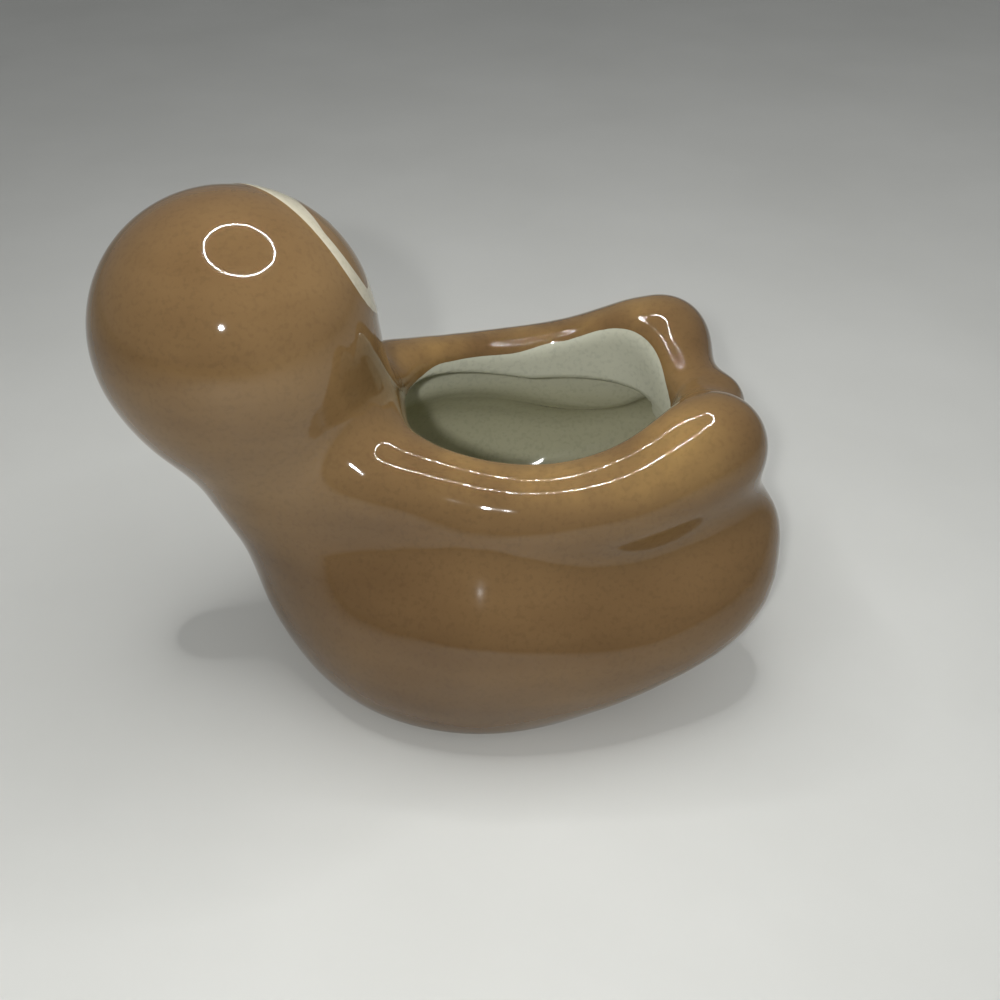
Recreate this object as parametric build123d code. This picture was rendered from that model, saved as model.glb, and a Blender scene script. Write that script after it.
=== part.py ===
from build123d import *
import os
from math import atan2, cos, hypot, pi, radians, sin, sqrt

# A glazed ceramic planter in the form of an animal lying on its back. Millimetres, +Z up.
# The origin is the middle of the flat foot. +X runs to the feet, +Y to the animal's left.

# Pot: the belly, a rounded bowl that closes over at the shoulders
pot_length = 108.0
pot_width = 98.0
pot_height = 63.5
wall = 6.0
floor_thickness = 6.0
foot_height = 1.2

# Mouth of the pot
mouth_length = 59.0
mouth_width = 46.0
mouth_centre = 16.0

# Pale glaze inside the pot
glaze = 0.8

# Head and neck. The head is a gap behind the mouth and a rise above the pot's top.
# The neck's root reaches forward under the mouth, at a depth below the pot's top.
head_diameter = 57.0
head_gap = 4.5
head_rise = 18.0
neck_pinch = 3.2
neck_reach = 20.7
neck_depth = 41.0
neck_drop = 30.0
neck_flare = 5.0

# Limbs
arm_thickness = 24.0
leg_thickness = 32.0

# Face, a raised pale patch with dark features. The head looks up and to the animal's left.
# Each layer of glaze on it is one relief thick.
face_width = 46.0
face_height = 35.0
face_drop = 1.5
face_tilt = 35.0
face_turn = 42.0
relief = 0.3
eye_patch_length = 27.0
eye_patch_width = 10.0
eye_patch_spread = 11.5
eye_patch_rise = 1.9
eye_droop = 14.0
eye_spread = 5.2
eye_rise = 1.2
eye_diameter = 3.4
eye_depth = 0.5
nose_width = 7.0
nose_height = 5.0
nose_depth = 1.4
nose_drop = 5.0
smile_radius = 6.0
smile_width = 1.0
smile_drop = 11.5
smile_angle = 100.0

# How far a cutting shape runs past what it cuts
overrun = 5.0

# Pot sections, foot to top: height, centre, half length, half width
POT_SHARES = (
    (0.000, 0.000, 0.324, 0.347),
    (0.025, 0.012, 0.377, 0.403),
    (0.095, 0.022, 0.418, 0.449),
    (0.236, 0.035, 0.457, 0.490),
    (0.409, 0.052, 0.480, 0.500),
    (0.583, 0.069, 0.505, 0.464),
    (0.756, 0.083, 0.500, 0.378),
    (0.882, 0.100, 0.470, 0.296),
    (0.961, 0.107, 0.421, 0.224),
    (1.000, 0.116, 0.356, 0.143),
)
ROUND_SHARE = 1.0
POT_CORNER_SHARE = 0.90
MOUTH_CORNER_SHARE = 0.78
MOUTH_TAPER_SHARE = 0.10
OVAL_POINTS = 16

# Limb centre lines: along half the pot, across half the pot, up the pot, then the radius
ARM_SHARES = (
    (-0.428, 0.355, 0.860, 0.98),
    (0.150, 0.553, 0.828, 0.80),
    (0.596, 0.533, 0.817, 0.98),
    (0.893, 0.435, 0.931, 0.97),
)
LEG_SHARES = (
    (0.000, 0.690, 0.425, 0.98),
    (0.460, 0.705, 0.350, 1.03),
    (0.870, 0.580, 0.490, 0.92),
    (0.995, 0.476, 0.630, 0.76),
)
# Angles at which a limb's round end is cut into sections
END_ANGLES = (35.0, 62.0, 80.0)


def oval(half_length, half_width, corner_share, taper_share=0.0):
    """A closed smooth curve, rounder than a rectangle and fuller than an ellipse."""
    points = []
    for step in range(OVAL_POINTS):
        angle = 2 * pi * step / OVAL_POINTS
        along = abs(cos(angle)) ** corner_share * (1 if cos(angle) >= 0 else -1)
        across = abs(sin(angle)) ** corner_share * (1 if sin(angle) >= 0 else -1)
        points.append((half_length * along, half_width * across * (1 + taper_share * along)))
    return make_face(Spline(*points, periodic=True))


def pot_sections():
    """Height, centre, half length and half width of each level of the pot."""
    return [
        (pot_height * up, pot_length * centre, pot_length * along, pot_width * across)
        for up, centre, along, across in POT_SHARES
    ]


def inset_sections(depth):
    """The pot's sections moved in by a depth, square to its side."""
    outer = pot_sections()
    inner = []
    for index, (up, centre, along, across) in enumerate(outer):
        below = outer[max(index - 1, 0)]
        above = outer[min(index + 1, len(outer) - 1)]
        rise = above[0] - below[0]
        spread = (above[2] + above[3] - below[2] - below[3]) / 2
        slope = hypot(rise, spread)
        inward = depth * rise / slope
        inner.append((up + depth * spread / slope, centre, along - inward, across - inward))
    return inner


def bowl(sections):
    """A solid through level sections."""
    faces = []
    for up, centre, along, across in sections:
        faces.append(Pos(centre, 0, up) * oval(along, across, POT_CORNER_SHARE))
    return loft(faces)


def cavity(depth, floor):
    """The pot's inside, with a flat floor."""
    sections = [section for section in inset_sections(depth) if section[0] > floor]
    first = sections[0]
    foot = (floor, first[1], first[2] - depth, first[3] - depth)
    return bowl([foot] + sections)


def mouth_prism(half_length, half_width):
    """The upright hole that the mouth makes."""
    bottom = pot_height / 2
    face = Pos(mouth_centre, 0, bottom) * oval(
        half_length, half_width, MOUTH_CORNER_SHARE, MOUTH_TAPER_SHARE
    )
    return extrude(face, amount=pot_height, dir=(0, 0, 1))


def hollow(depth, floor, mouth_inset):
    """Everything that is open inside the pot, with its mouth."""
    prism = mouth_prism(mouth_length / 2 - mouth_inset, mouth_width / 2 - mouth_inset)
    return cavity(depth, floor) + prism


mouth_back = mouth_centre - mouth_length / 2
ball_radius = head_diameter / 2
waist = ball_radius - neck_pinch
head_centre = Vector(mouth_back - head_gap - ball_radius, 0, pot_height + head_rise)
neck_root = Vector(mouth_back + neck_reach - waist, 0, pot_height - neck_depth)
neck_length = (head_centre - neck_root).length


def head_and_neck(depth):
    """A ball on a waisted neck, turned about the neck's axis and moved in by a depth."""
    blend = (neck_drop**2 + waist**2 - ball_radius**2) / (2 * neck_pinch)
    ring = waist + blend
    leave = atan2(ring, -neck_drop)
    flare = radians(neck_flare)
    end = (ring - blend * cos(flare), -neck_drop - blend * sin(flare))
    root = end[0] + (neck_length + end[1]) * sin(flare) / cos(flare)
    radius = ball_radius - depth
    inner_blend = blend + depth
    top = (0, radius)
    side = (radius * sin(leave / 2), radius * cos(leave / 2))
    join = (radius * sin(leave), radius * cos(leave))
    turn = (leave - pi / 2 + flare) / 2 - flare
    middle = (ring - inner_blend * cos(turn), -neck_drop + inner_blend * sin(turn))
    finish = (ring - inner_blend * cos(flare), -neck_drop - inner_blend * sin(flare))
    outline = Polyline(finish, (root - depth, -neck_length), (0, -neck_length), top)
    outline += ThreePointArc(top, side, join)
    outline += ThreePointArc(join, middle, finish)
    profile = Plane.XZ * make_face(outline)
    place = Plane(origin=head_centre, x_dir=(0, 1, 0), z_dir=head_centre - neck_root)
    return place * revolve(profile, axis=Axis.Z)


def limb(shares, thickness):
    """A tapering round limb along a curved line, with round ends. The left one."""
    points = []
    radii = []
    for along, across, up, size in shares:
        points.append(Vector(pot_length / 2 * along, pot_width / 2 * across, pot_height * up))
        radii.append(thickness / 2 * size)
    count = len(points)
    ways = []
    for index in range(count):
        way = points[min(index + 1, count - 1)] - points[max(index - 1, 0)]
        ways.append(way.normalized())
    stations = []
    for angle in reversed(END_ANGLES):
        reach = radii[0] * sin(radians(angle))
        stations.append((points[0] - ways[0] * reach, ways[0], radii[0] * cos(radians(angle))))
    stations += list(zip(points, ways, radii))
    for angle in END_ANGLES:
        reach = radii[-1] * sin(radians(angle))
        stations.append((points[-1] + ways[-1] * reach, ways[-1], radii[-1] * cos(radians(angle))))
    faces = [
        Plane(origin=place, x_dir=(0, 0, 1), z_dir=way) * Circle(radius)
        for place, way, radius in stations
    ]
    return loft(faces)


def both_sides(form):
    """A form on the animal's left and its twin on the right."""
    return {"left": form, "right": mirror(form, about=Plane.XZ)}


face_out = Vector(1, 0, 0).rotate(Axis.Y, -face_tilt).rotate(Axis.Z, face_turn)
face_left = Vector(0, 1, 0).rotate(Axis.Z, face_turn)
face_place = Plane(origin=head_centre, x_dir=face_left, z_dir=face_out)


def column(outline):
    """The space in front of an outline on the face."""
    return extrude(outline, amount=head_diameter)


def face_layer(outline, layer):
    """A patch of the given outline, one layer of relief thick, on the face."""
    inner = ball_radius + relief * layer
    return (column(outline) & Sphere(inner + relief)) - Sphere(inner)


def on_face(across, up, layer):
    """A point on the face at a height of layers of relief."""
    reach = ball_radius + relief * layer
    return Vector(across, up, sqrt(reach**2 - across**2 - up**2))


def dome(width, height, depth, place):
    """A low rounded knob, before its underside is fitted to the face."""
    return Pos(*place) * scale(Sphere(1.0), by=(width / 2, height / 2, depth))


def face_outline():
    """The edge of the pale patch."""
    return Pos(0, -face_drop) * oval(face_width / 2, face_height / 2, ROUND_SHARE)


def eye_patch_outline():
    """The left eye's patch, drooping outwards from the middle to the edge of the face."""
    patch = Pos(eye_patch_spread, eye_patch_rise) * Rot(0, 0, -eye_droop) * oval(
        eye_patch_length / 2, eye_patch_width / 2, ROUND_SHARE
    )
    left_half = Pos(face_width / 2, 0) * Rectangle(face_width, face_height * 2)
    return patch & face_outline() & left_half


def smile_outline():
    """A thin smile under the nose."""
    ring = Circle(smile_radius + smile_width / 2) - Circle(smile_radius - smile_width / 2)
    half = radians(smile_angle / 2)
    reach = smile_radius + overrun
    left = (reach * sin(half), -reach * cos(half))
    right = (-reach * sin(half), -reach * cos(half))
    wedge = make_face(Polyline((0, 0), right, (0, -reach / cos(half)), left, close=True))
    return Pos(0, smile_radius - smile_drop) * (ring & wedge)


def face_pieces(head, raised):
    """The pale patch on the head, the eye patches, the eyes, the nose and the smile."""
    patch = face_layer(eye_patch_outline(), 1)
    eye = dome(eye_diameter, eye_diameter, eye_depth, on_face(eye_spread, eye_rise, 2))
    eye = eye - Sphere(ball_radius + relief * 2)
    nose = dome(nose_width, nose_height, nose_depth, on_face(0, -nose_drop, 1))
    pieces = {
        "face_patch": column(face_outline()),
        "left_eye_patch": patch,
        "right_eye_patch": mirror(patch, about=Plane.YZ),
        "left_eye": eye,
        "right_eye": mirror(eye, about=Plane.YZ),
        "nose": nose - Sphere(ball_radius + relief),
        "smile": face_layer(smile_outline(), 1),
    }
    placed = {name: face_place * piece for name, piece in pieces.items()}
    placed["face_patch"] = (placed["face_patch"] & raised) - head
    return placed


def build():
    """All the pieces, by name."""
    pot = bowl(pot_sections())
    head = head_and_neck(0)
    neck_hole = head_and_neck(wall)
    open_space = hollow(wall, floor_thickness, 0)
    lined_space = hollow(wall + glaze, floor_thickness + glaze, glaze)
    mouth = mouth_prism(mouth_length / 2, mouth_width / 2)

    arms = both_sides(limb(ARM_SHARES, arm_thickness))
    legs = both_sides(limb(LEG_SHARES, leg_thickness))
    foot_slab = Pos(0, 0, foot_height) * Box(
        pot_length * 2, pot_width * 2, foot_height + overrun, align=(Align.CENTER, Align.CENTER, Align.MAX)
    )

    shell = pot - open_space - neck_hole

    pieces = {
        "base_foot": shell & foot_slab,
        "pot_body": shell - foot_slab,
        "inner_glaze": ((open_space - lined_space) & pot) - neck_hole,
        "head_shell": head - pot - neck_hole - mouth,
    }
    for side in arms:
        pieces[side + "_arm"] = arms[side] - pot - head - mouth
        pieces[side + "_leg"] = legs[side] - pot - arms[side]
    pieces.update(face_pieces(head, head_and_neck(-relief)))
    return pieces


os.makedirs("parts", exist_ok=True)
for node, piece in build().items():
    export_step(piece, "parts/" + node + ".step")
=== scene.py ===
import math
from itertools import product

import bpy
import numpy as np
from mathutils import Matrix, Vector


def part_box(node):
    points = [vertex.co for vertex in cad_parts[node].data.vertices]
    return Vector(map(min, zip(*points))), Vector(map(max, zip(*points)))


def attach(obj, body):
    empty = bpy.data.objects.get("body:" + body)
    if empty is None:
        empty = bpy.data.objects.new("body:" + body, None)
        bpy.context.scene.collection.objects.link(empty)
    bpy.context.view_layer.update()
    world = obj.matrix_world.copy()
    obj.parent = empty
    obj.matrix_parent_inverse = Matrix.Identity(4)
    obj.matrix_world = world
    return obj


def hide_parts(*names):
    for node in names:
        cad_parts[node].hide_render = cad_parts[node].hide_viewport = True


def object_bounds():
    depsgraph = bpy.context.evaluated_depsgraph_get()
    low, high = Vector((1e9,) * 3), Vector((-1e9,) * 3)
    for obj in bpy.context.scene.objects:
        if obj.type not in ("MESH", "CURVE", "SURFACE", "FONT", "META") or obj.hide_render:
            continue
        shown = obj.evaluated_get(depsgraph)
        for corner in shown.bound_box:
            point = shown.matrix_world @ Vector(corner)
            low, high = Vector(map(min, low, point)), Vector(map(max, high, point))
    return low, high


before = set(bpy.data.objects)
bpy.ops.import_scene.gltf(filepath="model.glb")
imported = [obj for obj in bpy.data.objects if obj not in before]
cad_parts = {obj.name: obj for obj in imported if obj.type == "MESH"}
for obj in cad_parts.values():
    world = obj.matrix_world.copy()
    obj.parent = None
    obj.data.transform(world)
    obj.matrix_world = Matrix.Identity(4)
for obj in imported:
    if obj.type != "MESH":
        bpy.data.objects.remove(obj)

cad_box = [list(corner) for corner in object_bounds()]

# A glazed ceramic planter in the form of an animal lying on its back.
# The shape is worked out in millimetres, and the meshes are in metres.
MM = 0.001


def node_box(node):
    """A node's lowest and highest corner, in millimetres."""
    low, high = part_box(node)
    return np.array(low) / MM, np.array(high) / MM


# Head, neck and torso, placed by the frame
head_low, head_high = node_box("head_shell")
pot_low, pot_high = node_box("pot_body")
HEAD_RADIUS = head_high[1]
HEAD_TRIM = np.array([0.1, 0.0, 0.1])
HEAD_RADII = HEAD_RADIUS - HEAD_TRIM
HEAD_CENTRE = np.array([head_low[0] + HEAD_RADIUS, 0.0, head_high[2] - HEAD_RADIUS])
NECK_TOP_MOVE = (4.2, 0.0, -12.5)
NECK_ROOT_MOVE = (22.8, 0.0, -50.5)
NECK_TOP = HEAD_CENTRE + NECK_TOP_MOVE
NECK_ROOT = HEAD_CENTRE + NECK_ROOT_MOVE
NECK_RADII = (23.3, 25.3)
TORSO_FROM_BACK = 50.4
TORSO_LENGTH_RADIUS = 50.0
TORSO_WIDTH_TRIM = 0.5
TORSO_HEIGHT = 20.5
TORSO_HEIGHT_RADIUS = 39.0
TORSO_CENTRE = np.array([pot_low[0] + TORSO_FROM_BACK, 0.0, TORSO_HEIGHT])
TORSO_RADII = np.array([TORSO_LENGTH_RADIUS, pot_high[1] - TORSO_WIDTH_TRIM, TORSO_HEIGHT_RADIUS])

# Bars across the front, between the hands and between the feet: two ends, then the radius
LIP_BAR = ((54.5, 0.0, 55.0), (46.0, 21.0, 55.0), 8.0)
LOW_BAR = ((51.0, 0.0, 37.5), (50.0, 20.0, 36.5), 10.0)

# Limb centre lines as shares of the limb's box, and radii in millimetres
ARM_SHARES = ((0.11, 0.27, 0.38), (0.43, 0.64, 0.235), (0.67, 0.60, 0.26), (0.882, 0.415, 0.56))
ARM_RADII = (11.0, 9.7, 11.2, 12.3)
LEG_SHARES = ((0.10, 0.50, 0.46), (0.43, 0.52, 0.36), (0.73, 0.42, 0.49), (0.842, 0.235, 0.70))
LEG_RADII = (14.6, 16.2, 14.6, 11.6)
LIMB_STEPS = 4
# Width over which a limb's joints are smoothed, and how much that adds all round
LIMB_SOFTNESS = 1.5
LIMB_SWELL = 1.6

# Widths over which forms flow together
NECK_BLEND = 8.0
TORSO_BLEND = 9.0
FRONT_BLEND = 13.0
LIMB_BLEND = 9.0
CREASE_BLEND = 8.5
FOOT_BLEND = 3.0
LIP_BLEND = 3.2
EDGE_BLEND = 1.6
KNOB_BLEND = 0.4

# Inside: a span goes from front to back
WALL = 6.0
FLOOR = 6.0
MOUTH_CENTRE = 16.0
MOUTH_HALF = np.array([29.0, 23.0])
MOUTH_POWER = 2.6
MOUTH_LOW = 40.0
CEILING = 50.5
CEILING_RISE = 7.0
CEILING_SPAN = (18.0, -12.0)
UNDERCUT = 7.0
UNDERCUT_LOW = 22.0
UNDERCUT_BLEND = 12.0
LEAST_WALL = 3.5
NECK_HOLE_RADII = (21.0, 14.0)

# Edges of the glazes: how deep in the mouth the brown one ends, with its waves, and the foot's edge
GLAZE_LINE = 0.9
GLAZE_OVERRUN = 1.8
GLAZE_SPAN = (22.0, -10.0)
GLAZE_WOBBLE = 0.06
LONG_WAVE = 0.53
CROSS_WAVE = 0.71
SKEW_WAVE = 0.37
FOOT_LINE = 0.6

# Face, turned up and to the animal's left. Places on it are across and up.
FACE_TILT = math.radians(35.0)
FACE_TURN = math.radians(42.0)
FACE_HALF = (23.0, 17.5)
FACE_DROP = 1.5
FACE_RELIEF = 0.3
FACE_EDGE = 1.0
EYE_PATCH_HALF = (13.5, 6.6)
EYE_PATCH_PLACE = (12.3, 3.4)
EYE_PATCH_INSET = 1.7
EYE_DROOP = math.radians(14.0)
EYE_PLACE = (5.2, 1.0)
EYE_HALF = (1.7, 1.7)
EYE_RELIEF = 0.06
NOSE_PLACE = (0.0, -5.0)
NOSE_RADII = (3.5, 2.5, 1.4)
SMILE_RADIUS = 6.0
SMILE_DROP = 11.5
SMILE_HALF_ANGLE = math.radians(50.0)
SMILE_THICKNESS = 0.55
SMILE_STEPS = 12

FACE_OUT = np.array([
    math.cos(FACE_TILT) * math.cos(FACE_TURN),
    math.cos(FACE_TILT) * math.sin(FACE_TURN),
    math.sin(FACE_TILT),
])
FACE_LEFT = np.array([-math.sin(FACE_TURN), math.cos(FACE_TURN), 0.0])
FACE_UP = np.cross(FACE_OUT, FACE_LEFT)

# Mesh steps, shell depths and the room left round a form
STEP = 1.1
FINE_STEP = 0.22
SHELL = 1.5
SKIN = 0.7
MARGIN_STEPS = 3
ROOM = 1.0
SMILE_ROOM = 1.2

# How points find the surface: rounds, shares and guards against near zero
PULLS = 3
SMOOTHING_ROUNDS = 4
SMOOTHING_SHARE = 0.6
HALVINGS = 40
NUDGE = 0.02
LEAST_SLOPE = 0.2
NEAR_ZERO = 0.02
TINY = 1e-9


def smooth_min(a, b, width):
    """The lesser of two distances, rounded where they meet."""
    mix = np.clip(0.5 + 0.5 * (b - a) / width, 0.0, 1.0)
    return b * (1 - mix) + a * mix - width * mix * (1 - mix)


def smooth_max(a, b, width):
    """The greater of two distances, rounded where they meet."""
    return -smooth_min(-a, -b, width)


def share_of(value, span):
    """How far a value has gone from one end of a span to the other, from nought to one."""
    return np.clip((value - span[0]) / (span[1] - span[0]), 0.0, 1.0)


def unit(vectors):
    """Vectors of length one."""
    return vectors / np.maximum(np.linalg.norm(vectors, axis=-1, keepdims=True), TINY)


def ellipsoid(points, centre, radii):
    """Distance to an ellipsoid, near enough close to it."""
    scaled = (points - centre) / radii
    near = np.linalg.norm(scaled, axis=-1)
    slope = np.linalg.norm(scaled / radii, axis=-1)
    return near * (near - 1) / np.maximum(slope, TINY)


def round_cone(points, start, end, start_radius, end_radius):
    """Distance to a bar with round ends and a radius at each end."""
    start = np.asarray(start, float)
    way = np.asarray(end, float) - start
    along = np.clip((points - start) @ way / (way @ way), 0.0, 1.0)
    gap = np.linalg.norm(points - start - along[..., None] * way, axis=-1)
    return gap - start_radius - (end_radius - start_radius) * along


def smooth_line(points, steps):
    """Points on a smooth curve through the given ones."""
    ends = np.vstack([2 * points[0] - points[1], points, 2 * points[-1] - points[-2]])
    line = []
    for before, first, second, after in zip(ends, ends[1:], ends[2:], ends[3:]):
        bend = 2 * before - 5 * first + 4 * second - after
        twist = 3 * first - before - 3 * second + after
        for t in np.arange(steps) / steps:
            line.append(first + 0.5 * ((second - before) * t + bend * t**2 + twist * t**3))
    return np.array(line + [points[-1]])


def limb_line(node, shares, radii):
    """A limb's centre line with its radius as fourth value."""
    low, high = node_box(node)
    places = low + np.array(shares) * (high - low)
    return smooth_line(np.column_stack([places, radii]), LIMB_STEPS)


ARM_LINE = limb_line("left_arm", ARM_SHARES, ARM_RADII)
LEG_LINE = limb_line("left_leg", LEG_SHARES, LEG_RADII)


def bars_of(points, line):
    """Distances to the bars of a line."""
    return np.stack([round_cone(points, a[:3], b[:3], a[3], b[3]) for a, b in zip(line, line[1:])])


def limb(points, line):
    """Distance to a limb along its line, with smooth joints."""
    bars = bars_of(points, line)
    return LIMB_SWELL - LIMB_SOFTNESS * np.log(np.exp(-bars / LIMB_SOFTNESS).sum(axis=0))


def on_face(points):
    """Places across, up and out from the head's middle, as the face sees them."""
    away = points - HEAD_CENTRE
    return away @ FACE_LEFT, away @ FACE_UP, away @ FACE_OUT


def oval_field(across, up, half):
    """Under zero inside an oval, about a distance near its edge."""
    return (np.hypot(across / half[0], up / half[1]) - 1) * min(half)


def face_field(points):
    """Under zero on the white face."""
    across, up, out = on_face(points)
    return np.where(out > 0, oval_field(across, up + FACE_DROP, FACE_HALF), HEAD_RADIUS)


def eye_patch_field(points, side):
    """Under zero on an eye patch. Side is 1 for the left and -1 for the right."""
    across, up, out = on_face(points)
    along, rise = side * across - EYE_PATCH_PLACE[0], up - EYE_PATCH_PLACE[1]
    length = along * math.cos(EYE_DROOP) - rise * math.sin(EYE_DROOP)
    height = along * math.sin(EYE_DROOP) + rise * math.cos(EYE_DROOP)
    oval = np.maximum(oval_field(length, height, EYE_PATCH_HALF), -side * across)
    oval = np.maximum(oval, face_field(points) + EYE_PATCH_INSET)
    return np.where(out > 0, oval, HEAD_RADIUS)


def forms(points):
    """Distances to the head with the neck, the pot, the arm and the leg of the nearer side."""
    half = points.copy()
    half[..., 1] = np.abs(half[..., 1])
    ball = ellipsoid(points, HEAD_CENTRE, HEAD_RADII)
    raised = np.clip(0.5 - face_field(points) / FACE_EDGE, 0.0, 1.0)
    ball = ball - FACE_RELIEF * raised * raised * (3 - 2 * raised)
    neck = round_cone(half, NECK_TOP, NECK_ROOT, *NECK_RADII)
    torso = ellipsoid(half, TORSO_CENTRE, TORSO_RADII)
    lip, low = [round_cone(half, start, end, radius, radius) for start, end, radius in (LIP_BAR, LOW_BAR)]
    front = smooth_min(lip, low, FRONT_BLEND)
    return {
        "head": smooth_min(ball, neck, NECK_BLEND),
        "pot": smooth_min(torso, front, FRONT_BLEND),
        "arm": limb(half, ARM_LINE),
        "leg": limb(half, LEG_LINE),
    }


def outside(points):
    """Distance to the planter as if it were solid."""
    part = forms(points)
    body = smooth_min(part["head"], part["pot"], TORSO_BLEND)
    body = smooth_min(body, smooth_min(part["arm"], part["leg"], CREASE_BLEND), LIMB_BLEND)
    return smooth_max(body, -points[..., 2], FOOT_BLEND)


def mouth_field(points, half):
    """Under zero inside the upright hole of the mouth, about a distance near its edge."""
    along = np.abs((points[..., 0] - MOUTH_CENTRE) / half[0]) ** MOUTH_POWER
    across = np.abs(points[..., 1] / half[1]) ** MOUTH_POWER
    return ((along + across) ** (1 / MOUTH_POWER) - 1) * half[1]


def hollow(points, solid):
    """Distance to the open space: the belly, the neck and head, and the mouth."""
    height = points[..., 2]
    under = mouth_field(points, MOUTH_HALF + UNDERCUT)
    under = smooth_max(under, UNDERCUT_LOW - height, UNDERCUT_BLEND)
    under = smooth_max(under, solid + LEAST_WALL, EDGE_BLEND)
    belly = smooth_min(solid + WALL, under, WALL)
    ceiling = CEILING + CEILING_RISE * share_of(points[..., 0], CEILING_SPAN)
    belly = smooth_max(belly, height - ceiling, EDGE_BLEND)
    belly = smooth_max(belly, FLOOR - height, WALL)
    neck = round_cone(points, HEAD_CENTRE, NECK_ROOT, *NECK_HOLE_RADII)
    belly = smooth_min(belly, neck, WALL)
    mouth = smooth_max(mouth_field(points, MOUTH_HALF), MOUTH_LOW - height, WALL)
    return smooth_min(belly, mouth, EDGE_BLEND)


def ceramic(points):
    """Distance to the planter's wall."""
    solid = outside(points)
    return smooth_max(solid, -hollow(points, solid), LIP_BLEND)


def slope_of(distance, points):
    """The direction in which a distance grows, and how fast."""
    slope = np.empty_like(points)
    for axis in range(3):
        move = np.zeros(3)
        move[axis] = NUDGE
        slope[:, axis] = (distance(points + move) - distance(points - move)) / (2 * NUDGE)
    return slope


def pull(distance, points, rounds=PULLS):
    """Points moved onto the surface."""
    for _ in range(rounds):
        slope = slope_of(distance, points)
        reach = distance(points) / np.maximum((slope**2).sum(axis=1), LEAST_SLOPE)
        points = points - slope * reach[:, None]
    return points


def even_out(distance, points, quads):
    """Points moved along the surface towards the middle of their neighbours."""
    for _ in range(SMOOTHING_ROUNDS):
        total = np.zeros_like(points)
        count = np.zeros(len(points))
        for corner in range(4):
            for other in (corner - 1, (corner + 1) % 4):
                np.add.at(total, quads[:, corner], points[quads[:, other]])
                np.add.at(count, quads[:, corner], 1)
        middle = total / count[:, None]
        points = pull(distance, (1 - SMOOTHING_SHARE) * points + SMOOTHING_SHARE * middle, 1)
    return points


def surface(distance, low, high, step):
    """Even quads on the zero surface of a distance, facing out."""
    axes = [np.arange(a, b + step, step) for a, b in zip(low, high)]
    grid = np.stack(np.meshgrid(*axes, indexing="ij"), axis=-1)
    inside = distance(grid) < 0
    size = np.array(inside.shape) - 1
    corners = list(product((0, 1), repeat=3))
    count = sum(inside[i:size[0] + i, j:size[1] + j, k:size[2] + k].astype(int) for i, j, k in corners)
    crossed = (count > 0) & (count < len(corners))
    number = np.full(crossed.shape, -1)
    number[crossed] = np.arange(crossed.sum())
    points = grid[:-1, :-1, :-1][crossed] + step / 2

    quads = []
    for axis in range(3):
        here = np.moveaxis(inside, axis, 0)
        cells = np.moveaxis(number, axis, 0)
        changed = here[:-1, 1:-1, 1:-1] != here[1:, 1:-1, 1:-1]
        a, b, c = np.nonzero(changed)
        ring = [cells[a, b, c], cells[a, b + 1, c], cells[a, b + 1, c + 1], cells[a, b, c + 1]]
        ring = np.stack(ring, axis=1)
        outward = here[a, b + 1, c + 1] if axis != 1 else ~here[a, b + 1, c + 1]
        ring[~outward] = ring[~outward][:, ::-1]
        quads.append(ring)
    quads = np.concatenate(quads)

    points = even_out(distance, pull(distance, points), quads)
    return pull(distance, points), [tuple(quad) for quad in quads.tolist()]


def edges_of(face):
    """Pairs of corners round a face."""
    return zip(face, face[1:] + face[:1])


def cut(sheet, field):
    """A sheet cut along the zero line of a field: the part under zero, then the rest."""
    points, faces = sheet
    value = field(points)
    value = np.where(np.abs(value) < NEAR_ZERO, NEAR_ZERO, value)
    below = value < 0
    places = [points]
    total = len(points)
    crossing = {}
    under, over = [], []
    for face in faces:
        signs = [below[corner] for corner in face]
        if all(signs):
            under.append(face)
        elif not any(signs):
            over.append(face)
        else:
            sides = {True: [], False: []}
            for a, b in edges_of(face):
                sides[bool(below[a])].append(a)
                if below[a] != below[b]:
                    edge = (min(a, b), max(a, b))
                    if edge not in crossing:
                        share = value[edge[0]] / (value[edge[0]] - value[edge[1]])
                        place = points[edge[0]] + share * (points[edge[1]] - points[edge[0]])
                        crossing[edge] = total
                        places.append(place[None])
                        total += 1
                    sides[True].append(crossing[edge])
                    sides[False].append(crossing[edge])
            under.append(tuple(sides[True]))
            over.append(tuple(sides[False]))
    points = np.concatenate(places)
    return (points, under), (points, over)


def shell(sheet, depth):
    """A sheet of the planter's surface made into a closed thin solid, with the normals of its points."""
    points, faces = sheet
    used = sorted({corner for face in faces for corner in face})
    renumber = {old: new for new, old in enumerate(used)}
    faces = [tuple(renumber[corner] for corner in face) for face in faces]
    points = points[used]
    normals = unit(slope_of(ceramic, points))
    count = len(points)
    edges = [edge for face in faces for edge in edges_of(face)]
    known = set(edges)
    rim = [(b, a, a + count, b + count) for a, b in edges if (b, a) not in known]
    inner = [tuple(corner + count for corner in reversed(face)) for face in faces]
    places = np.concatenate([points, points - normals * depth])
    return places, faces + inner + rim, np.concatenate([normals, -normals])


def small_form(distance, low, high):
    """A closed mesh of a small form, with the normals of its points."""
    points, faces = surface(distance, low, high, FINE_STEP)
    return points, faces, unit(slope_of(distance, points))


def add_piece(node, solid, material):
    """A closed mesh in the scene that stands for a node."""
    points, faces, normals = solid
    mesh = bpy.data.meshes.new(node)
    mesh.from_pydata((points * MM).tolist(), [], faces)
    mesh.polygons.foreach_set("use_smooth", [True] * len(mesh.polygons))
    mesh.normals_split_custom_set_from_vertices(normals.tolist())
    mesh.materials.append(material)
    piece = bpy.data.objects.new(node + "_glazed", mesh)
    bpy.context.scene.collection.objects.link(piece)
    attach(piece, "root")
    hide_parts(node)


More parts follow.
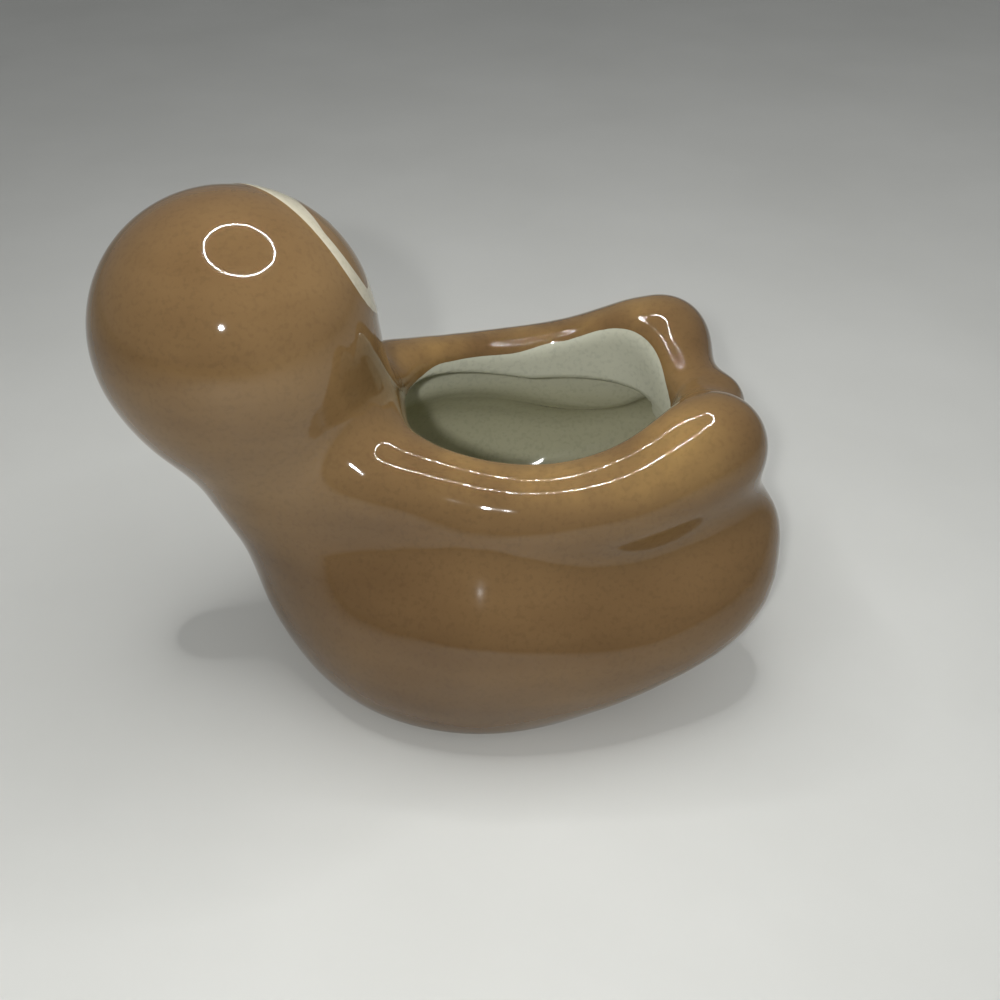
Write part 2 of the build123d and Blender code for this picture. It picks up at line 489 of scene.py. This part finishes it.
# Shades of each glaze from dark to light, and how rough it is
REFRACTION = 1.52
BROWN_SHADES = ((0.135, 0.076, 0.029), (0.18, 0.107, 0.043), (0.235, 0.145, 0.062))
PALE_SHADES = ((0.5, 0.505, 0.4), (0.55, 0.555, 0.44), (0.6, 0.605, 0.49))
WHITE_SHADES = ((0.46, 0.43, 0.33), (0.51, 0.475, 0.36), (0.56, 0.52, 0.4))
DARK_SHADES = ((0.012, 0.009, 0.007), (0.018, 0.013, 0.01), (0.026, 0.019, 0.014))
BROWN_ROUGHNESS = 0.05
PALE_ROUGHNESS = 0.08
DARK_ROUGHNESS = 0.1

# Patterns in the glaze: noise scales, where along the noise the shades lie, and how much each counts
DRIFT_SCALE = 22.0
DRIFT_STOPS = (0.3, 0.5, 0.72)
STREAK_SCALE = 34.0
STREAK_STRETCH = (0.25, 0.7, 2.4)
STREAK_DETAIL = 3.0
STREAK_STOPS = (0.38, 0.62)
STREAK_AMOUNT = 0.3
SPECK_SCALE = 900.0
SPECK_STOPS = (0.32, 0.5)
SPECK_SHADES = ((0.8, 0.8, 0.8), (1.0, 1.0, 1.0))
SPECK_AMOUNT = 0.5
WAVE_SCALE = 120.0
WAVE_STRENGTH = 0.08
WAVE_DEPTH = 0.0006
PLAIN_DETAIL = 4.0
FINE_DETAIL = 2.0

# Painted light: the top of the rim is painted lighter and golden, where the lamps above light it. Heights
# and lengthways places in metres, patches and colour
RIM_HEIGHTS = (0.0545, 0.0625)
RIM_BACK = (-0.022, 0.0)
RIM_FRONT = (0.054, 0.034)
RIM_PATCH_SCALE = 45.0
RIM_PATCHES = (0.3, 0.75)
RIM_LIGHT_COLOUR = (0.38, 0.235, 0.08)
# Painted shade: heights over which the glaze is painted darker downwards, away from the light above, and
# by how much outside and inside the pot
LOW_HEIGHTS = (0.054, 0.036)
LOW_SHADE_TINT = (0.78, 0.75, 0.72)
INNER_SHADE_TINT = (0.88, 0.85, 0.74)

# Bare clay, and the floor
CLAY_ROUGHNESS = 0.8
CLAY_SCALE = 700.0
CLAY_SHADES = ((0.42, 0.33, 0.25), (0.6, 0.5, 0.4))
CLAY_STRENGTH = 0.3
CLAY_DEPTH = 0.0003
FLOOR_ROUGHNESS = 0.6
FLOOR_SCALE = 14.0
FLOOR_SHADES = ((0.66, 0.665, 0.63), (0.7, 0.705, 0.67))
GRAIN_STOPS = (0.3, 0.7)


def new_material(name, roughness):
    """A material and its nodes, links and shader."""
    material = bpy.data.materials.new(name)
    material.use_nodes = True
    tree = material.node_tree
    shader = tree.nodes["Principled BSDF"]
    shader.inputs["IOR"].default_value = REFRACTION
    shader.inputs["Roughness"].default_value = roughness
    return material, tree.nodes, tree.links, shader


def noise(nodes, links, scale, stretch=(1.0, 1.0, 1.0), detail=PLAIN_DETAIL):
    """A noise over the object's own coordinates, in metres."""
    place = nodes.new("ShaderNodeTexCoord")
    mapping = nodes.new("ShaderNodeMapping")
    mapping.inputs["Scale"].default_value = stretch
    texture = nodes.new("ShaderNodeTexNoise")
    texture.inputs["Scale"].default_value = scale
    texture.inputs["Detail"].default_value = detail
    links.new(place.outputs["Object"], mapping.inputs["Vector"])
    links.new(mapping.outputs["Vector"], texture.inputs["Vector"])
    return texture.outputs["Fac"]


def ramp(nodes, links, value, stops, shades):
    """Shades along a value."""
    node = nodes.new("ShaderNodeValToRGB")
    while len(node.color_ramp.elements) < len(stops):
        node.color_ramp.elements.new(0.5)
    for element, stop, shade in zip(node.color_ramp.elements, stops, shades):
        element.position = stop
        element.color = (*shade, 1.0)
    links.new(value, node.inputs["Fac"])
    return node.outputs["Color"]


def mix_colours(nodes, links, amount, first, second, kind="MIX"):
    """Two colours mixed by an amount. The node's colour sockets are numbers 6 and 7 in and 2 out."""
    node = nodes.new("ShaderNodeMix")
    node.data_type = "RGBA"
    node.blend_type = kind
    for socket, source in ((node.inputs[0], amount), (node.inputs[6], first), (node.inputs[7], second)):
        if isinstance(source, bpy.types.NodeSocket):
            links.new(source, socket)
        else:
            socket.default_value = source
    return node.outputs[2]


def add_bump(nodes, links, shader, height, strength, depth):
    """Small waves in a surface."""
    bump = nodes.new("ShaderNodeBump")
    bump.inputs["Strength"].default_value = strength
    bump.inputs["Distance"].default_value = depth
    links.new(height, bump.inputs["Height"])
    links.new(bump.outputs["Normal"], shader.inputs["Normal"])


def step_up(nodes, links, value, span):
    """A value's way along a span as a soft step from nought to one."""
    node = nodes.new("ShaderNodeMapRange")
    node.interpolation_type = "SMOOTHSTEP"
    node.inputs["From Min"].default_value = span[0]
    node.inputs["From Max"].default_value = span[1]
    links.new(value, node.inputs["Value"])
    return node.outputs["Result"]


def multiply(nodes, links, first, second):
    """Two values multiplied."""
    node = nodes.new("ShaderNodeMath")
    node.operation = "MULTIPLY"
    links.new(first, node.inputs[0])
    links.new(second, node.inputs[1])
    return node.outputs[0]


def place_parts(nodes, links):
    """The object's own coordinates, as X, Y and Z."""
    place = nodes.new("ShaderNodeTexCoord")
    parts = nodes.new("ShaderNodeSeparateXYZ")
    links.new(place.outputs["Object"], parts.inputs["Vector"])
    return parts.outputs


def paint_rim_light(nodes, links, colour):
    """Painted light: the top of the rim painted lighter and golden, where the lamps above light it."""
    parts = place_parts(nodes, links)
    amount = step_up(nodes, links, noise(nodes, links, RIM_PATCH_SCALE), RIM_PATCHES)
    for axis, span in (("Z", RIM_HEIGHTS), ("X", RIM_FRONT), ("X", RIM_BACK)):
        amount = multiply(nodes, links, amount, step_up(nodes, links, parts[axis], span))
    return mix_colours(nodes, links, amount, colour, (*RIM_LIGHT_COLOUR, 1.0))


def paint_low_shade(nodes, links, colour, tint):
    """Painted shade: the glaze painted darker low down, away from the light above and deep in the pot."""
    low = step_up(nodes, links, place_parts(nodes, links)["Z"], LOW_HEIGHTS)
    return mix_colours(nodes, links, low, colour, (*tint, 1.0), "MULTIPLY")


def glaze(name, shades, roughness, shade_tint=None, rim_lit=False):
    """A glossy glaze with drifts, brush streaks and fine specks of colour, and where asked, painted light
    on the top of the rim and painted shade low down.
    """
    material, nodes, links, shader = new_material(name, roughness)
    drift = ramp(nodes, links, noise(nodes, links, DRIFT_SCALE), DRIFT_STOPS, shades)
    streaks = noise(nodes, links, STREAK_SCALE, STREAK_STRETCH, STREAK_DETAIL)
    streak = ramp(nodes, links, streaks, STREAK_STOPS, (shades[0], shades[-1]))
    colour = mix_colours(nodes, links, STREAK_AMOUNT, drift, streak)
    if rim_lit:
        colour = paint_rim_light(nodes, links, colour)
    if shade_tint:
        colour = paint_low_shade(nodes, links, colour, shade_tint)
    specks = noise(nodes, links, SPECK_SCALE, detail=FINE_DETAIL)
    speck = ramp(nodes, links, specks, SPECK_STOPS, SPECK_SHADES)
    colour = mix_colours(nodes, links, SPECK_AMOUNT, colour, speck, "MULTIPLY")
    links.new(colour, shader.inputs["Base Color"])
    waves = noise(nodes, links, WAVE_SCALE, detail=FINE_DETAIL)
    add_bump(nodes, links, shader, waves, WAVE_STRENGTH, WAVE_DEPTH)
    return material


def bare_clay():
    """Matt fired clay."""
    material, nodes, links, shader = new_material("bare_clay", CLAY_ROUGHNESS)
    grain = noise(nodes, links, CLAY_SCALE)
    links.new(ramp(nodes, links, grain, GRAIN_STOPS, CLAY_SHADES), shader.inputs["Base Color"])
    add_bump(nodes, links, shader, grain, CLAY_STRENGTH, CLAY_DEPTH)
    return material


# The brown glaze carries painted light on the top of the rim and painted shade low down
BROWN = glaze("brown_glaze", BROWN_SHADES, BROWN_ROUGHNESS, LOW_SHADE_TINT, True)
PATCH = glaze("patch_glaze", BROWN_SHADES, BROWN_ROUGHNESS)
# The pale lining carries painted shade low down inside the pot
PALE = glaze("pale_glaze", PALE_SHADES, PALE_ROUGHNESS, INNER_SHADE_TINT)
WHITE = glaze("white_glaze", WHITE_SHADES, PALE_ROUGHNESS)
DARK = glaze("dark_glaze", DARK_SHADES, DARK_ROUGHNESS)
CLAY = bare_clay()


def lining(points):
    """Under zero on the pale glaze inside, which ends in slight waves below the lip."""
    length, width = points[:, 0], points[:, 1]
    waves = np.sin(length * LONG_WAVE) + np.sin(width * CROSS_WAVE + length * SKEW_WAVE)
    line = GLAZE_LINE + GLAZE_OVERRUN * share_of(length, GLAZE_SPAN)
    return outside(points) + line + GLAZE_WOBBLE * waves


def foot_zone(points):
    """Under zero on the foot."""
    return points[:, 2] - FOOT_LINE


def head_zone(points):
    """Under zero on the head and neck."""
    part = forms(points)
    return part["head"] - part["pot"]


def limb_zone(points, name, other, side):
    """Under zero on an arm or leg. Side is 1 for the left and -1 for the right."""
    part = forms(points)
    nearest = np.minimum.reduce([part["head"], part["pot"], part[other]])
    return np.maximum(part[name] - nearest, -side * points[:, 1])


def build_body():
    """The glazed body, cut into its pieces."""
    margin = MARGIN_STEPS * STEP
    low, high = [np.array(corner) / MM for corner in cad_box]
    rest = surface(ceramic, low - margin, high + margin, STEP)
    inner, rest = cut(rest, lining)
    add_piece("inner_glaze", shell(inner, SKIN), PALE)
    foot, rest = cut(rest, foot_zone)
    add_piece("base_foot", shell(foot, SKIN), CLAY)
    for name, other in (("arm", "leg"), ("leg", "arm")):
        for label, side in (("left", 1), ("right", -1)):
            sheet, rest = cut(rest, lambda points: limb_zone(points, name, other, side))
            add_piece(label + "_" + name, shell(sheet, SHELL), BROWN)
    head, rest = cut(rest, head_zone)
    add_piece("pot_body", shell(rest, SHELL), BROWN)
    face, head = cut(head, face_field)
    add_piece("head_shell", shell(head, SHELL), BROWN)
    for label, side in (("left", 1), ("right", -1)):
        patch, face = cut(face, lambda points: eye_patch_field(points, side))
        add_piece(label + "_eye_patch", shell(patch, SKIN), PATCH)
    add_piece("face_patch", shell(face, SKIN), WHITE)


def face_point(across, up):
    """A point of the face's surface, found by halving the way to it."""
    place = HEAD_CENTRE + FACE_LEFT * across + FACE_UP * up + FACE_OUT * HEAD_RADIUS
    low, high = -HEAD_RADIUS / 2, HEAD_RADIUS / 4
    for _ in range(HALVINGS):
        middle = (low + high) / 2
        if outside((place + FACE_OUT * middle)[None])[0] > 0:
            high = middle
        else:
            low = middle
    return place + FACE_OUT * low


def build_eye(node, side):
    """A round dark spot of glaze on the face. Side is 1 for the left and -1 for the right."""
    place = (side * EYE_PLACE[0], EYE_PLACE[1])
    centre = face_point(*place)
    reach = max(EYE_HALF) + ROOM

    def spot(points):
        across, up, _ = on_face(points)
        return oval_field(across - place[0], up - place[1], EYE_HALF)

    eye, _ = cut(surface(ceramic, centre - reach, centre + reach, FINE_STEP), spot)
    points, faces, normals = shell(eye, SKIN)
    points = points + EYE_RELIEF * unit(centre - HEAD_CENTRE)
    add_piece(node, (points, faces, normals), DARK)


def build_nose():
    """A low rounded knob on the face, with its underside just below the surface."""
    centre = face_point(*NOSE_PLACE)
    axes = np.stack([FACE_LEFT, FACE_UP, FACE_OUT], axis=1)
    reach = max(NOSE_RADII) + ROOM

    def knob(points):
        dome = ellipsoid((points - centre) @ axes, np.zeros(3), np.array(NOSE_RADII))
        return smooth_max(dome, -outside(points) - SKIN / 2, KNOB_BLEND)

    add_piece("nose", small_form(knob, centre - reach, centre + reach), DARK)


def build_smile():
    """A thin curved line under the nose."""
    places = []
    for angle in np.linspace(-SMILE_HALF_ANGLE, SMILE_HALF_ANGLE, SMILE_STEPS):
        up = SMILE_RADIUS - SMILE_DROP - SMILE_RADIUS * math.cos(angle)
        places.append(face_point(SMILE_RADIUS * math.sin(angle), up))
    places = np.array(places)
    line = np.column_stack([places, np.full(SMILE_STEPS, SMILE_THICKNESS)])

    def mouth_line(points):
        return bars_of(points, line).min(axis=0)

    low, high = places.min(axis=0) - SMILE_ROOM, places.max(axis=0) + SMILE_ROOM
    add_piece("smile", small_form(mouth_line, low, high), DARK)


build_body()
build_eye("left_eye", 1)
build_eye("right_eye", -1)
build_nose()
build_smile()

# Floor, light and camera, in metres
FLOOR_RADIUS = 3.0
FLOOR_SIDES = 96
SKY_COLOUR = (0.62, 0.63, 0.64)
SKY_STRENGTH = 0.31
RING_CENTRE = (-0.005, 0.0, 0.275)
RING_RADIUS = 0.08
RING_LAMPS = 72
RING_POWER = 1.35
RING_LAMP_SIZE = 0.0008
TOP_LAMP = (0.3, -0.05, 0.5)
TOP_POWER = 0.75
TOP_SIZE = 0.7
FRONT_LAMP = (-0.066, -0.286, 0.25)
FRONT_POWER = 2.1
FRONT_SIZE = 0.009
CAMERA_AZIMUTH = math.radians(7.7)
CAMERA_ELEVATION = math.radians(36.9)
CAMERA_DISTANCE = 0.272
CAMERA_TARGET = Vector((0.0074, 0.0, 0.0332))
CAMERA_FIELD = math.radians(46.0)
CAMERA_NEAR = 0.01


def circle(radius, count):
    """Places spaced evenly round a circle."""
    turns = [2 * math.pi * step / count for step in range(count)]
    return [(radius * math.cos(turn), radius * math.sin(turn)) for turn in turns]


def build_floor():
    """A pale round floor."""
    mesh = bpy.data.meshes.new("floor")
    corners = [(x, y, 0.0) for x, y in circle(FLOOR_RADIUS, FLOOR_SIDES)]
    mesh.from_pydata(corners, [], [tuple(range(FLOOR_SIDES))])
    material, nodes, links, shader = new_material("floor", FLOOR_ROUGHNESS)
    colour = ramp(nodes, links, noise(nodes, links, FLOOR_SCALE), GRAIN_STOPS, FLOOR_SHADES)
    links.new(colour, shader.inputs["Base Color"])
    mesh.materials.append(material)
    floor = bpy.data.objects.new("floor", mesh)
    bpy.context.scene.collection.objects.link(floor)


def add_lamp(name, kind, place, power, size, mirrored=True):
    """A lamp, and whether the glaze mirrors it."""
    light = bpy.data.lights.new(name, kind)
    light.energy = power
    if kind == "AREA":
        light.size = size
    else:
        light.shadow_soft_size = size
    lamp = bpy.data.objects.new(name, light)
    lamp.location = place
    lamp.visible_glossy = mirrored
    bpy.context.scene.collection.objects.link(lamp)


def build_light():
    """A soft sky, a soft lamp above, a lamp by the camera and a ring of small lamps."""
    world = bpy.data.worlds.new("studio")
    world.use_nodes = True
    sky = world.node_tree.nodes["Background"]
    sky.inputs["Color"].default_value = (*SKY_COLOUR, 1.0)
    sky.inputs["Strength"].default_value = SKY_STRENGTH
    bpy.context.scene.world = world
    add_lamp("soft_top", "AREA", TOP_LAMP, TOP_POWER, TOP_SIZE, False)
    add_lamp("front_lamp", "POINT", FRONT_LAMP, FRONT_POWER, FRONT_SIZE)
    for number, (x, y) in enumerate(circle(RING_RADIUS, RING_LAMPS)):
        place = (RING_CENTRE[0] + x, RING_CENTRE[1] + y, RING_CENTRE[2])
        add_lamp("ring_lamp_%02d" % number, "POINT", place, RING_POWER / RING_LAMPS, RING_LAMP_SIZE)


def build_camera():
    """The camera at the photograph's viewing angle."""
    way = Vector((
        math.sin(CAMERA_AZIMUTH) * math.cos(CAMERA_ELEVATION),
        math.cos(CAMERA_AZIMUTH) * math.cos(CAMERA_ELEVATION),
        -math.sin(CAMERA_ELEVATION),
    ))
    camera = bpy.data.objects.new("camera", bpy.data.cameras.new("camera"))
    camera.data.angle = CAMERA_FIELD
    camera.data.clip_start = CAMERA_NEAR
    camera.location = CAMERA_TARGET - way * CAMERA_DISTANCE
    camera.rotation_euler = way.to_track_quat("-Z", "Y").to_euler()
    bpy.context.scene.collection.objects.link(camera)
    bpy.context.scene.camera = camera


build_floor()
build_light()
build_camera()
bpy.context.scene.view_settings.view_transform = "Standard"
